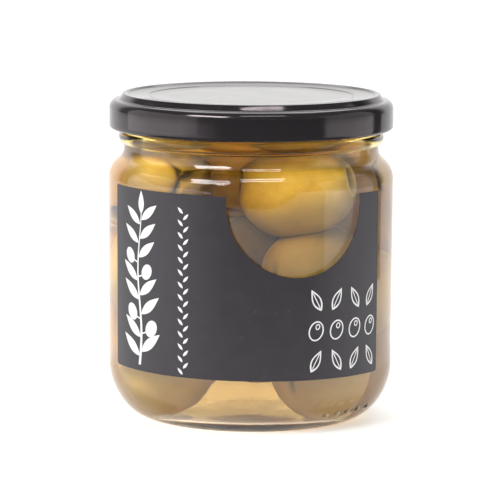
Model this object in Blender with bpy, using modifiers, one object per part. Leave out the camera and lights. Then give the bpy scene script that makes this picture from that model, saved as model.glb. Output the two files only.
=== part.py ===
import bpy
import bmesh
import math
import numpy as np
from mathutils import Matrix, Vector

# A shut jar of large pitted green olives: glass jar, twist-off metal lid, wrapped label, olives.
# Metres, +Z up. The jar stands on z = 0 with its axis on Z, and the label faces -Y.
# Angles round the jar are measured from the front, positive towards +X.

# Driving dimensions
JAR_RADIUS = 0.0426
JAR_TAPER = 0.0002
SHOULDER_HEIGHT = 0.0716
GLASS_WALL = 0.0023
LID_RADIUS = 0.0424
TOTAL_HEIGHT = 0.0968
MILLIMETRE = 0.001
SIDES = 56

# Glass jar, outside
HEEL_DEPTH = 0.0120
HEEL_HEIGHT = 0.0161
HEEL_FULLNESS = 1.85
BEARING_WIDTH = 0.0030
PUNT_STEP = 0.0004
PUNT_RISE = 0.0022
SHOULDER_RADIUS = 0.0073
SHOULDER_TURN = 53.0
WAIST_RADIUS = 0.0381
BEAD_RADIUS = 0.0396
BEAD_HEIGHT = 0.0839
BEAD_ROUND = 0.0022
FINISH_RADIUS = 0.0388
RIM_TOP = 0.0943
RIM_ROUND = 0.0011

# Glass jar, inside
FLOOR_HEIGHT = 0.0046
FLOOR_RISE = 0.0010
INNER_HEEL_DEPTH = 0.0115
INNER_HEEL_HEIGHT = 0.0135
INNER_SHOULDER_RADIUS = 0.0052
NECK_INNER_RADIUS = 0.0359

# Thread ridges on the glass and lugs in the lid
THREADS = 6
THREAD_START = 36.7
THREAD_ARC = 58.0
THREAD_LOW = 0.0863
THREAD_HIGH = 0.0920
THREAD_ROUND = 0.0009
THREAD_POINTS = 9
LUG_ANGLE = 42.0
LUG_SIZE = (0.0080, 0.0017, 0.0010)
LUG_RADIUS = 0.0403
LUG_HEIGHT = 0.0873

# Lid, outside
SHEET = 0.0004
PANEL_RADIUS = 0.0303
PANEL_DROP = 0.00085
PANEL_STEP = 0.0003
RIDGE_INNER_RADIUS = 0.0370
RIDGE_OUTER_RADIUS = 0.0381
RIDGE_FOOT_RADIUS = 0.0393
RIDGE_ROUND = 0.0004
LEDGE_DROP = 0.0018
LEDGE_FILLET = 0.0005
LID_SHOULDER_ROUND = 0.0022
LID_SHOULDER_FALL = 0.0025
CURL_ROUND = 0.0010
CURL_BOTTOM = 0.0864

# Label
LABEL_GAP = 0.00022
LABEL_SHEET = 0.00012
LABEL_LOW = 0.0172
LABEL_HIGH = 0.0708
LABEL_LEFT = -67.0
LABEL_RIGHT = 61.0
LABEL_SKEW = -0.0104
LABEL_CORNER = 0.0012
WINDOW_RADIUS = 0.0214
WINDOW_ANGLE = 19.2
WINDOW_DROP = 0.0021

# Olives
OLIVE_LENGTH = 0.0300
OLIVE_WIDTH = 0.0252
OLIVE_SIDES = 12
OLIVE_RINGS = 8
OLIVE_RING_RADIUS = 0.0268
OLIVE_FLOOR = 0.0064
OLIVE_CEILING = 0.0900
OLIVE_CLEARANCE = 0.0009
NECK_RISE = 0.0075
OLIVE_SEED = 7
SETTLE_ROUNDS = 400
CORE_RADIUS = 0.0180
CORE_LOW = 0.0120
CORE_HIGH = 0.0740

# Olives with a place of their own: angle, distance from the axis, height, yaw, pitch and size
PLACED_OLIVES = (
    (30.5, 0.0250, 0.0704, -14.0, 10.0, 1.06),
    (38.0, 0.0265, 0.0478, 8.0, 22.0, 1.00),
    (-60.0, 0.0248, 0.0720, 168.0, -3.0, 0.96),
    (-20.0, 0.0060, 0.0735, 70.0, 35.0, 0.98),
    (-12.0, 0.0095, 0.0500, 20.0, 65.0, 0.98),
    (-54.0, 0.0260, 0.0200, 6.0, 30.0, 1.10),
    (46.0, 0.0262, 0.0177, -4.0, -10.0, 1.03),
    (180.0, 0.0262, 0.0225, 0.0, 5.0, 1.00),
)

# Layers of the other olives: height, how many, and the angle of the first
OLIVE_LAYERS = (
    (0.0180, 2, 128.0),
    (0.0440, 5, 100.0),
    (0.0700, 3, 100.0),
)
MIDDLE_OLIVES = (0.0360,)


def clear_scene():
    for item in list(bpy.data.objects):
        bpy.data.objects.remove(item, do_unlink=True)


def new_collection(name, hidden=False):
    collection = bpy.data.collections.new(name)
    bpy.context.scene.collection.children.link(collection)
    collection.hide_render = hidden
    return collection


def new_material(name, colour, roughness, metallic=0.0, transmission=0.0):
    material = bpy.data.materials.new(name)
    material.use_nodes = True
    shader = material.node_tree.nodes["Principled BSDF"]
    shader.inputs["Base Color"].default_value = (*colour, 1.0)
    shader.inputs["Roughness"].default_value = roughness
    shader.inputs["Metallic"].default_value = metallic
    shader.inputs["Transmission Weight"].default_value = transmission
    material.diffuse_color = (*colour, 1.0)
    return material


def new_object(name, mesh, collection, material=None):
    item = bpy.data.objects.new(name, mesh)
    collection.objects.link(item)
    if material:
        item.data.materials.append(material)
    return item


def arc(center_radius, center_height, radius, height, start, stop, steps, fullness=2.0):
    # Points of an ellipse, or of a superellipse where fullness isn't 2, from start to stop degrees.
    points = []
    for step in range(steps + 1):
        angle = math.radians(start + (stop - start) * step / steps)
        across = math.copysign(abs(math.cos(angle)) ** (2.0 / fullness), math.cos(angle))
        along = math.copysign(abs(math.sin(angle)) ** (2.0 / fullness), math.sin(angle))
        points.append((center_radius + radius * across, center_height + height * along))
    return points


def turned(name, profile, collection, material):
    # The profile is a closed line in the XZ plane, or one with both ends on the axis.
    mesh = bpy.data.meshes.new(name)
    builder = bmesh.new()
    verts = [builder.verts.new((max(radius, 0.0), 0.0, height)) for radius, height in profile]
    for first, second in zip(verts, verts[1:]):
        builder.edges.new((first, second))
    builder.to_mesh(mesh)
    builder.free()
    item = new_object(name, mesh, collection, material)
    screw = item.modifiers.new("Turn", "SCREW")
    screw.axis = "Z"
    screw.steps = SIDES
    screw.render_steps = SIDES
    screw.use_merge_vertices = True
    screw.merge_threshold = 0.00001
    screw.use_smooth_shade = True
    return item


def join_collection(item, name, operands, solver="EXACT"):
    union = item.modifiers.new(name, "BOOLEAN")
    union.operation = "UNION"
    union.operand_type = "COLLECTION"
    union.collection = operands
    union.solver = solver
    return union


def apply_modifiers(item):
    graph = bpy.context.evaluated_depsgraph_get()
    mesh = bpy.data.meshes.new_from_object(item.evaluated_get(graph))
    item.modifiers.clear()
    item.data = mesh


def empty_collection(collection):
    for item in list(collection.objects):
        bpy.data.objects.remove(item, do_unlink=True)
    bpy.data.collections.remove(collection)


def curve_to_mesh(item, collection):
    graph = bpy.context.evaluated_depsgraph_get()
    mesh = bpy.data.meshes.new_from_object(item.evaluated_get(graph))
    builder = bmesh.new()
    builder.from_mesh(mesh)
    bmesh.ops.remove_doubles(builder, verts=builder.verts, dist=0.00001)
    bmesh.ops.recalc_face_normals(builder, faces=builder.faces)
    builder.to_mesh(mesh)
    builder.free()
    solid = new_object(item.name + "_solid", mesh, collection)
    solid.matrix_world = item.matrix_world
    bpy.data.objects.remove(item, do_unlink=True)
    return solid


def body_radius(height):
    # The straight body narrows a little from the shoulder down to the heel.
    share = (SHOULDER_HEIGHT - height) / (SHOULDER_HEIGHT - HEEL_HEIGHT)
    return JAR_RADIUS - JAR_TAPER * min(max(share, 0.0), 1.0)


def neck_curve(shoulder_radius, center_radius, waist_radius):
    # A convex shoulder and a concave neck that meet on one slope, from the waist down.
    turn = math.radians(SHOULDER_TURN)
    meet_radius = center_radius + shoulder_radius * math.cos(turn)
    meet_height = SHOULDER_HEIGHT + shoulder_radius * math.sin(turn)
    neck_radius = (meet_radius - waist_radius) / (1.0 - math.cos(turn))
    neck_height = meet_height + neck_radius * math.sin(turn)
    neck = arc(waist_radius + neck_radius, neck_height, neck_radius, neck_radius,
               180.0, 180.0 + SHOULDER_TURN, 3)
    shoulder = arc(center_radius, SHOULDER_HEIGHT, shoulder_radius, shoulder_radius,
                   SHOULDER_TURN, 0.0, 4)
    return neck[:-1] + shoulder


def jar_outside():
    bead_center = BEAD_RADIUS - BEAD_ROUND
    bead_top = math.degrees(math.acos((FINISH_RADIUS - bead_center) / BEAD_ROUND))
    bead_low = math.degrees(math.acos((WAIST_RADIUS - bead_center) / BEAD_ROUND))
    points = arc(FINISH_RADIUS - RIM_ROUND, RIM_TOP - RIM_ROUND, RIM_ROUND, RIM_ROUND, 90.0, 0.0, 2)
    points += arc(bead_center, BEAD_HEIGHT, BEAD_ROUND, BEAD_ROUND, bead_top, -bead_low, 5)
    points += neck_curve(SHOULDER_RADIUS, JAR_RADIUS - SHOULDER_RADIUS, WAIST_RADIUS)
    heel_radius = body_radius(HEEL_HEIGHT)
    points += arc(heel_radius - HEEL_DEPTH, HEEL_HEIGHT, HEEL_DEPTH, HEEL_HEIGHT,
                  0.0, -90.0, 7, HEEL_FULLNESS)
    bearing_inner = heel_radius - HEEL_DEPTH - BEARING_WIDTH
    points.append((bearing_inner, 0.0))
    points += arc(0.0, PUNT_STEP, bearing_inner - PUNT_STEP, PUNT_RISE - PUNT_STEP, 0.0, 90.0, 3)
    return points


def jar_inside():
    # From the middle of the floor up the inner wall to the rim.
    inner_radius = body_radius(HEEL_HEIGHT) - GLASS_WALL
    heel_center = inner_radius - INNER_HEEL_DEPTH
    points = [(0.0, FLOOR_HEIGHT + FLOOR_RISE), (0.5 * heel_center, FLOOR_HEIGHT + 0.6 * FLOOR_RISE)]
    points += arc(heel_center, FLOOR_HEIGHT + INNER_HEEL_HEIGHT, INNER_HEEL_DEPTH, INNER_HEEL_HEIGHT,
                  -90.0, 0.0, 5)
    upper_radius = JAR_RADIUS - GLASS_WALL
    neck = neck_curve(INNER_SHOULDER_RADIUS, upper_radius - INNER_SHOULDER_RADIUS, NECK_INNER_RADIUS)
    points += reversed(neck)
    rim_center = FINISH_RADIUS - RIM_ROUND
    points += arc(rim_center, RIM_TOP - RIM_ROUND, RIM_ROUND, RIM_ROUND, 180.0, 135.0, 1)
    return points


def thread_curve(index, collection):
    curve = bpy.data.curves.new("thread", "CURVE")
    curve.dimensions = "3D"
    curve.bevel_depth = THREAD_ROUND
    curve.bevel_resolution = 0
    curve.use_fill_caps = True
    spline = curve.splines.new("POLY")
    spline.points.add(THREAD_POINTS - 1)
    for step, point in enumerate(spline.points):
        share = step / (THREAD_POINTS - 1)
        angle = math.radians(THREAD_START + index * 360.0 / THREADS + share * THREAD_ARC)
        height = THREAD_LOW + (THREAD_HIGH - THREAD_LOW) * share
        point.co = (FINISH_RADIUS * math.sin(angle), -FINISH_RADIUS * math.cos(angle), height, 1.0)
    return new_object(f"thread_{index}", curve, collection)


def build_jar(collection):
    glass = new_material("clear_glass", (0.90, 0.91, 0.88), 0.03, transmission=0.9)
    jar = turned("jar", jar_inside() + jar_outside(), collection, glass)
    ridges = new_collection("thread_ridges", hidden=True)
    for index in range(THREADS):
        curve_to_mesh(thread_curve(index, ridges), ridges)
    join_collection(jar, "Threads", ridges)
    apply_modifiers(jar)
    empty_collection(ridges)
    finish_mesh(jar)
    return jar


def lid_outside():
    # From the middle of the top down the side and round the curl at its foot.
    panel_height = TOTAL_HEIGHT - PANEL_DROP
    outer_panel = panel_height + PANEL_STEP
    ledge = TOTAL_HEIGHT - LEDGE_DROP
    points = [(0.0, panel_height), (PANEL_RADIUS, panel_height), (PANEL_RADIUS + PANEL_STEP, outer_panel)]
    points.append((RIDGE_INNER_RADIUS - PANEL_STEP, outer_panel))
    points += arc(RIDGE_INNER_RADIUS + RIDGE_ROUND, TOTAL_HEIGHT - RIDGE_ROUND,
                  RIDGE_ROUND, RIDGE_ROUND, 135.0, 90.0, 1)
    points += arc(RIDGE_OUTER_RADIUS, TOTAL_HEIGHT - RIDGE_ROUND, RIDGE_ROUND, RIDGE_ROUND, 90.0, 40.0, 1)
    points.append((RIDGE_FOOT_RADIUS, ledge + LEDGE_FILLET))
    points.append((RIDGE_FOOT_RADIUS + 1.4 * LEDGE_FILLET, ledge))
    points += arc(LID_RADIUS - LID_SHOULDER_ROUND, ledge - LID_SHOULDER_FALL,
                  LID_SHOULDER_ROUND, LID_SHOULDER_FALL, 90.0, 0.0, 4)
    points += arc(LID_RADIUS - CURL_ROUND, CURL_BOTTOM + CURL_ROUND, CURL_ROUND, CURL_ROUND,
                  0.0, -180.0, 6)
    return points


def lid_inside():
    # From the top of the curl up the inner wall and back to the middle, one sheet below the outside.
    inner_wall = LID_RADIUS - SHEET
    panel_height = TOTAL_HEIGHT - PANEL_DROP - SHEET
    ledge = TOTAL_HEIGHT - LEDGE_DROP - SHEET
    return [
        (inner_wall, CURL_BOTTOM + 2.4 * CURL_ROUND),
        (inner_wall, ledge - LID_SHOULDER_FALL),
        (inner_wall - LID_SHOULDER_ROUND, ledge),
        (RIDGE_OUTER_RADIUS - SHEET, ledge),
        (RIDGE_OUTER_RADIUS - SHEET, panel_height),
        (0.0, panel_height),
    ]


def build_lid(collection):
    metal = new_material("black_lacquered_metal", (0.012, 0.012, 0.014), 0.18)
    lid = turned("lid", lid_outside() + lid_inside(), collection, metal)
    lugs = new_collection("lugs", hidden=True)
    for index in range(THREADS):
        angle = math.radians(THREAD_START + LUG_ANGLE + index * 360.0 / THREADS)
        mesh = bpy.data.meshes.new("lug")
        builder = bmesh.new()
        bmesh.ops.create_cube(builder, size=1.0, matrix=Matrix.Diagonal((*LUG_SIZE, 1.0)))
        builder.to_mesh(mesh)
        builder.free()
        lug = new_object(f"lug_{index}", mesh, lugs)
        lug.location = (LUG_RADIUS * math.sin(angle), -LUG_RADIUS * math.cos(angle), LUG_HEIGHT)
        lug.rotation_euler = (0.0, 0.0, angle)
    join_collection(lid, "Lugs", lugs)
    apply_modifiers(lid)
    empty_collection(lugs)
    finish_mesh(lid)
    return lid


def finish_mesh(item):
    item.data.shade_smooth()
    item.data.set_sharp_from_angle(angle=math.radians(35.0))


def facet_radius(radius, angle):
    # Distance from the axis to the flat of a turned side, at an angle between two of its corners.
    step = 2.0 * math.pi / SIDES
    local = (angle + 0.5 * step) % step - 0.5 * step
    return radius * math.cos(0.5 * step) / math.cos(0.5 * step - abs(local))


def label_outline():
    # The flat label as (distance along the jar, height), anticlockwise from its lower left corner.
    left = math.radians(LABEL_LEFT) * JAR_RADIUS
    right = math.radians(LABEL_RIGHT) * JAR_RADIUS
    points = arc(left + LABEL_CORNER, LABEL_LOW + LABEL_CORNER, LABEL_CORNER, LABEL_CORNER,
                 180.0, 270.0, 3)
    points += arc(right - LABEL_CORNER, LABEL_LOW + LABEL_CORNER, LABEL_CORNER, LABEL_CORNER,
                  270.0, 360.0, 3)
    points.append((right, LABEL_HIGH))
    center = math.radians(WINDOW_ANGLE) * JAR_RADIUS
    rise = math.degrees(math.asin(WINDOW_DROP / WINDOW_RADIUS))
    points += arc(center, LABEL_HIGH - WINDOW_DROP, WINDOW_RADIUS, WINDOW_RADIUS,
                  rise, -180.0 - rise, 26)
    points.append((left, LABEL_HIGH))
    return points


def build_label(collection):
    # The outline is filled and cut along the jar's facets while it is flat, in millimetres.
    paper = new_material("charcoal_label", (0.045, 0.041, 0.046), 0.45)
    mesh = bpy.data.meshes.new("label")
    builder = bmesh.new()
    corners = [builder.verts.new((along / MILLIMETRE, 0.0, height / MILLIMETRE))
               for along, height in label_outline()]
    face = builder.faces.new(corners)
    face.normal_update()
    bmesh.ops.triangulate(builder, faces=[face])
    facet = 360.0 / SIDES
    for index in range(math.ceil(LABEL_LEFT / facet), math.ceil(LABEL_RIGHT / facet)):
        everything = list(builder.verts) + list(builder.edges) + list(builder.faces)
        along = math.radians(index * facet) * JAR_RADIUS / MILLIMETRE
        bmesh.ops.bisect_plane(builder, geom=everything, dist=0.001,
                               plane_co=(along, 0.0, 0.0), plane_no=(1.0, 0.0, 0.0))
    for vert in builder.verts:
        along = vert.co.x * MILLIMETRE
        angle = along / JAR_RADIUS
        height = vert.co.z * MILLIMETRE + LABEL_SKEW * along
        radius = facet_radius(body_radius(height) + LABEL_GAP, angle)
        vert.co = (radius * math.sin(angle), -radius * math.cos(angle), height)
    builder.normal_update()
    middle = min(builder.faces, key=lambda side: side.calc_center_median().y)
    if middle.normal.y > 0.0:
        bmesh.ops.reverse_faces(builder, faces=builder.faces)
    builder.to_mesh(mesh)
    builder.free()
    label = new_object("label", mesh, collection, paper)
    skin = label.modifiers.new("Skin", "SOLIDIFY")
    skin.thickness = LABEL_SHEET
    skin.offset = 1.0
    label.data.shade_smooth()
    return label


def olive_pose(angle, distance, height, yaw, pitch, size):
    # An olive lies along the wall, turned by yaw towards the axis and by pitch upwards.
    turn = math.radians(angle)
    outward = np.array([math.sin(turn), -math.cos(turn), 0.0])
    along = np.array([math.cos(turn), math.sin(turn), 0.0])
    upward = np.array([0.0, 0.0, 1.0])
    level = math.cos(math.radians(yaw)) * along - math.sin(math.radians(yaw)) * outward
    axis = math.cos(math.radians(pitch)) * level + math.sin(math.radians(pitch)) * upward
    return outward * distance + upward * height, axis, size


def inner_radius_at(heights):
    # Room inside the glass: round over the heel, straight in the body, drawn in to the neck.
    body = JAR_RADIUS - JAR_TAPER - GLASS_WALL - OLIVE_CLEARANCE
    neck = NECK_INNER_RADIUS - OLIVE_CLEARANCE
    rise = np.clip((heights - SHOULDER_HEIGHT) / NECK_RISE, 0.0, 1.0)
    fall = np.clip((FLOOR_HEIGHT + INNER_HEEL_HEIGHT - heights) / INNER_HEEL_HEIGHT, 0.0, 1.0)
    heel = INNER_HEEL_DEPTH * (1.0 - np.sqrt(1.0 - fall * fall))
    return body + (neck - body) * rise ** 1.5 - heel


def wall_limits(heights, radii):
    # How far from the axis a ball's centre may be, from the room beside, above and below it.
    limits = []
    for share in (-0.9, -0.75, -0.5, -0.25, 0.0, 0.25, 0.5, 0.75, 0.9):
        room = inner_radius_at(heights + share * radii)
        limits.append(room - radii * math.sqrt(1.0 - share * share))
    return np.min(limits, axis=0)


def start_olives(draw):
    poses = [olive_pose(*placed) for placed in PLACED_OLIVES]
    fixed = len(poses)
    for height, count, first in OLIVE_LAYERS:
        spacing = (360.0 - 2.0 * first) / (count - 1)
        for index in range(count):
            poses.append(olive_pose(first + index * spacing + draw.uniform(-5.0, 5.0), OLIVE_RING_RADIUS,
                                    height + draw.uniform(-0.003, 0.003), draw.uniform(-25.0, 25.0),
                                    draw.uniform(-60.0, 60.0), draw.uniform(0.94, 1.05)))
    for height in MIDDLE_OLIVES:
        poses.append(olive_pose(draw.uniform(0.0, 360.0), 0.002, height, draw.uniform(-90.0, 90.0),
                                draw.uniform(30.0, 80.0), draw.uniform(0.92, 1.0)))
    return poses, fixed


def settle_olives():
    # Each olive is a chain of three balls. Balls that cross push each other apart, the wall,
    # the floor and the brine's surface push them back, and the placed olives stay where they are.
    draw = np.random.default_rng(OLIVE_SEED)
    poses, fixed = start_olives(draw)
    centers = np.array([pose[0] for pose in poses])
    axes = np.array([pose[1] for pose in poses])
    sizes = np.array([pose[2] for pose in poses])
    reach = sizes * 0.5 * (OLIVE_LENGTH - OLIVE_WIDTH * 0.84)
    radii = np.stack([sizes * 0.42 * OLIVE_WIDTH, sizes * 0.5 * OLIVE_WIDTH, sizes * 0.42 * OLIVE_WIDTH], axis=1)
    count = len(poses)
    owner = np.repeat(np.arange(count), 3)
    apart = owner[:, None] != owner[None, :]
    for _ in range(SETTLE_ROUNDS):
        steps = reach[:, None] * np.array([-1.0, 0.0, 1.0])
        balls = (centers[:, None, :] + steps[..., None] * axes[:, None, :]).reshape(-1, 3)
        ball_radii = radii.reshape(-1)
        offset = balls[:, None, :] - balls[None, :, :]
        distance = np.linalg.norm(offset, axis=2) + 1e-9
        overlap = np.where(apart, ball_radii[:, None] + ball_radii[None, :] - distance, 0.0).clip(min=0.0)
        push = 0.25 * (offset / distance[..., None] * overlap[..., None]).sum(axis=1)
        balls = balls + push
        balls[:, 2] -= 0.00002
        across = np.linalg.norm(balls[:, :2], axis=1) + 1e-9
        excess = (across - wall_limits(balls[:, 2], ball_radii)).clip(min=0.0)
        balls[:, :2] -= balls[:, :2] / across[:, None] * excess[:, None]
        balls[:, 2] = np.clip(balls[:, 2], OLIVE_FLOOR + ball_radii, OLIVE_CEILING - ball_radii)
        chains = balls.reshape(count, 3, 3)
        moved_axes = chains[:, 2] - chains[:, 0]
        moved_axes /= np.linalg.norm(moved_axes, axis=1)[:, None]
        centers[fixed:] = chains.mean(axis=1)[fixed:]
        axes[fixed:] = moved_axes[fixed:]
    return centers, axes, sizes


def add_olive(index, center, axis, size, collection):
    mesh = bpy.data.meshes.new("olive")
    builder = bmesh.new()
    bmesh.ops.create_uvsphere(builder, u_segments=OLIVE_SIDES, v_segments=OLIVE_RINGS, radius=0.5)
    builder.to_mesh(mesh)
    builder.free()
    olive = new_object(f"olive_{index}", mesh, collection)
    turn = Vector(axis).to_track_quat("Z", "Y").to_matrix().to_4x4()
    scale = Matrix.Diagonal((OLIVE_WIDTH * size, OLIVE_WIDTH * size, OLIVE_LENGTH * size, 1.0))
    olive.matrix_world = Matrix.Translation(center) @ turn @ scale
    return olive


def keep_outer_shell(item):
    # Sealed hollows between the olives are inward shells, and loose scraps are small ones.
    builder = bmesh.new()
    builder.from_mesh(item.data)
    bmesh.ops.remove_doubles(builder, verts=builder.verts, dist=0.00001)
    bmesh.ops.triangulate(builder, faces=builder.faces)
    unseen = set(builder.verts)
    shells = []
    while unseen:
        front = [unseen.pop()]
        shell = set(front)
        while front:
            for edge in front.pop().link_edges:
                for vert in edge.verts:
                    if vert in unseen:
                        unseen.remove(vert)
                        shell.add(vert)
                        front.append(vert)
        shells.append(shell)
    largest = max(shells, key=len)
    for shell in shells:
        if shell is not largest:
            bmesh.ops.delete(builder, geom=list(shell), context="VERTS")
    builder.to_mesh(item.data)
    builder.free()


def build_olives(collection):
    green = new_material("cured_olive", (0.52, 0.34, 0.07), 0.35)
    mesh = bpy.data.meshes.new("olives")
    builder = bmesh.new()
    bmesh.ops.create_cone(builder, cap_ends=True, segments=12, radius1=CORE_RADIUS, radius2=CORE_RADIUS,
                          depth=CORE_HIGH - CORE_LOW,
                          matrix=Matrix.Translation((0.0, 0.0, 0.5 * (CORE_HIGH + CORE_LOW))))
    builder.to_mesh(mesh)
    builder.free()
    heap = new_object("olives", mesh, collection, green)
    loose = new_collection("single_olives", hidden=True)
    for index, (center, axis, size) in enumerate(zip(*settle_olives())):
        if math.hypot(center[0], center[1]) > 0.5 * CORE_RADIUS:
            add_olive(index, center, axis, size, loose)
    bpy.context.view_layer.update()
    join_collection(heap, "Olives", loose)
    apply_modifiers(heap)
    empty_collection(loose)
    keep_outer_shell(heap)
    finish_mesh(heap)
    return heap


def main():
    clear_scene()
    parts = new_collection("jar_of_olives")
    build_jar(parts)
    build_lid(parts)
    build_label(parts)
    build_olives(parts)


main()
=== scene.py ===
import math

import bmesh
import bpy
import numpy as np
from mathutils import Matrix, Quaternion, Vector, noise


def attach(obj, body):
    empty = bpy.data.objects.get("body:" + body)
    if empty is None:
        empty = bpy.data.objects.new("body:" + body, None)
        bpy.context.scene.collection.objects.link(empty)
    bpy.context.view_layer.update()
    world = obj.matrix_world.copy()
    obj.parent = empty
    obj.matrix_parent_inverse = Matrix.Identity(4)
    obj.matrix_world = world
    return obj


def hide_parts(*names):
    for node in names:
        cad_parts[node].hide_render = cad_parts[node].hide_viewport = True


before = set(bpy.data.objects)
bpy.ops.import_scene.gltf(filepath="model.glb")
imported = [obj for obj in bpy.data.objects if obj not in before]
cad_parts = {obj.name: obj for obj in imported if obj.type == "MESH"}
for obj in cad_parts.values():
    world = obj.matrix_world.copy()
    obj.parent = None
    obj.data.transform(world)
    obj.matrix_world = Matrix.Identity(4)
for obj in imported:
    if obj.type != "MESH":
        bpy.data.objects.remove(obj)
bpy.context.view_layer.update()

# Shut jar of large green olives in brine. Metres, front of the label towards -Y.
# The jar's sizes are the same as in the model that the frame holds.
jarSizes = {
    "radius": 0.0426,
    "taper": 0.0002,
    "shoulderHeight": 0.0716,
    "wall": 0.0023,
    "heelDepth": 0.0120,
    "heelHeight": 0.0161,
    "heelFullness": 1.85,
    "bearingWidth": 0.0030,
    "puntStep": 0.0004,
    "puntRise": 0.0022,
    "shoulderRadius": 0.0073,
    "shoulderTurn": 53.0,
    "waistRadius": 0.0381,
    "beadRadius": 0.0396,
    "beadHeight": 0.0839,
    "beadRound": 0.0022,
    "finishRadius": 0.0388,
    "rimTop": 0.0943,
    "rimRound": 0.0011,
    "floorHeight": 0.0046,
    "floorRise": 0.0010,
    "innerHeelDepth": 0.0115,
    "innerHeelHeight": 0.0135,
    "innerShoulderRadius": 0.0052,
    "neckInnerRadius": 0.0359,
    "sides": 176,
    "waveHeight": 0.00010,
    "waveScale": 70.0,
}


# Small mesh helpers

def addObject(name, mesh):
    piece = bpy.data.objects.new(name, mesh)
    bpy.context.scene.collection.objects.link(piece)
    return piece


def meshFromBuilder(name, builder):
    mesh = bpy.data.meshes.new(name)
    builder.to_mesh(mesh)
    builder.free()
    return mesh


def makePlain(piece):
    # The evaluated mesh replaces the modifiers.
    graph = bpy.context.evaluated_depsgraph_get()
    mesh = bpy.data.meshes.new_from_object(piece.evaluated_get(graph))
    piece.modifiers.clear()
    piece.data = mesh


def mendMesh(mesh, distance=0.000002):
    # Welds close points and turns the faces outwards.
    builder = bmesh.new()
    builder.from_mesh(mesh)
    bmesh.ops.remove_doubles(builder, verts=builder.verts, dist=distance)
    bmesh.ops.recalc_face_normals(builder, faces=builder.faces)
    builder.to_mesh(mesh)
    builder.free()


def removeObject(piece):
    bpy.data.objects.remove(piece, do_unlink=True)


def shadeSmooth(piece, sharpAngle):
    piece.data.shade_smooth()
    piece.data.set_sharp_from_angle(angle=math.radians(sharpAngle))


def countFaces(piece):
    return sum(len(face.vertices) - 2 for face in piece.data.polygons)


def arc(centerRadius, centerHeight, radius, height, start, stop, steps, fullness=2.0):
    # Part of an oval, or of a fuller one, in a profile or an outline; angles in degrees.
    points = []
    for step in range(steps + 1):
        angle = math.radians(start + (stop - start) * step / steps)
        across = math.copysign(abs(math.cos(angle)) ** (2.0 / fullness), math.cos(angle))
        along = math.copysign(abs(math.sin(angle)) ** (2.0 / fullness), math.sin(angle))
        points.append((centerRadius + radius * across, centerHeight + height * along))
    return points


def circleArc(centerRadius, centerHeight, radius, start, stop, steps):
    return arc(centerRadius, centerHeight, radius, radius, start, stop, steps)


def lineSteps(start, stop, steps):
    # Points between two profile points, without the first.
    return [(start[0] + (stop[0] - start[0]) * step / steps,
             start[1] + (stop[1] - start[1]) * step / steps) for step in range(1, steps + 1)]


def turnProfile(name, profile, sides):
    # A profile with both ends on the axis, turned once round Z.
    builder = bmesh.new()
    verts = [builder.verts.new((max(radius, 0.0), 0.0, height)) for radius, height in profile]
    for first, second in zip(verts, verts[1:]):
        builder.edges.new((first, second))
    piece = addObject(name, meshFromBuilder(name, builder))
    screw = piece.modifiers.new("Turn", "SCREW")
    screw.steps = sides
    screw.render_steps = sides
    screw.use_merge_vertices = True
    screw.merge_threshold = 0.000002
    makePlain(piece)
    mendMesh(piece.data)
    return piece


def placeOnAxis(radius, angle, height):
    # Angles are measured from the front, positive towards +X.
    return Vector((radius * math.sin(angle), -radius * math.cos(angle), height))


# Node helpers

def newTree(name, kind, inputs, outputs):
    # An input is given by its type as a text, or by its default, which also tells the type.
    tree = bpy.data.node_groups.new(name, kind)
    types = {float: "Float", int: "Int", tuple: "Vector"}
    for label, value in inputs.items():
        socketType = value if isinstance(value, str) else types[type(value)]
        socket = tree.interface.new_socket(label, in_out="INPUT", socket_type="NodeSocket" + socketType)
        if not isinstance(value, str):
            socket.default_value = value
    for label, socketType in outputs.items():
        tree.interface.new_socket(label, in_out="OUTPUT", socket_type="NodeSocket" + socketType)
    return tree, tree.nodes.new("NodeGroupInput").outputs, tree.nodes.new("NodeGroupOutput")


def feed(tree, node, values):
    # Each value is a socket to link or a plain value, keyed by the input's name or number.
    for key, value in values.items():
        if isinstance(value, bpy.types.NodeSocket):
            tree.links.new(value, node.inputs[key])
        else:
            node.inputs[key].default_value = value


def addNode(tree, kind, values=None, **settings):
    # Gives the new node's outputs.
    node = tree.nodes.new(kind)
    for setting, value in settings.items():
        setattr(node, setting, value)
    feed(tree, node, values or {})
    return node.outputs


def mathNode(tree, operation, *values, clamp=False):
    return addNode(tree, "ShaderNodeMath", dict(enumerate(values)), operation=operation, use_clamp=clamp)[0]


def mapRange(tree, value, fromMin=0.0, fromMax=1.0, toMin=0.0, toMax=1.0):
    return addNode(tree, "ShaderNodeMapRange", {"Value": value, "From Min": fromMin, "From Max": fromMax,
                                                "To Min": toMin, "To Max": toMax})[0]


def mixColours(tree, factor, first, second):
    # Each of first and second is a colour or a socket.
    first, second = ((*value, 1.0) if isinstance(value, tuple) else value for value in (first, second))
    return addNode(tree, "ShaderNodeMix", {0: factor, 6: first, 7: second}, data_type="RGBA")[2]


def noiseNode(tree, place, scale, detail, roughness=0.5):
    values = {"Scale": scale, "Detail": detail, "Roughness": roughness}
    if place is not None:
        values["Vector"] = place
    return addNode(tree, "ShaderNodeTexNoise", values)["Fac"]


def objectPlace(tree):
    return addNode(tree, "ShaderNodeTexCoord")["Object"]


def bumpFrom(tree, height, strength, distance):
    values = {"Strength": strength, "Distance": distance, "Height": height}
    return addNode(tree, "ShaderNodeBump", values)["Normal"]


def newGeometryTree(name, inputs):
    return newTree(name, "GeometryNodeTree", {"Geometry": "Geometry", **inputs, "Finish": "Material"},
                   {"Geometry": "Geometry"})


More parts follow.
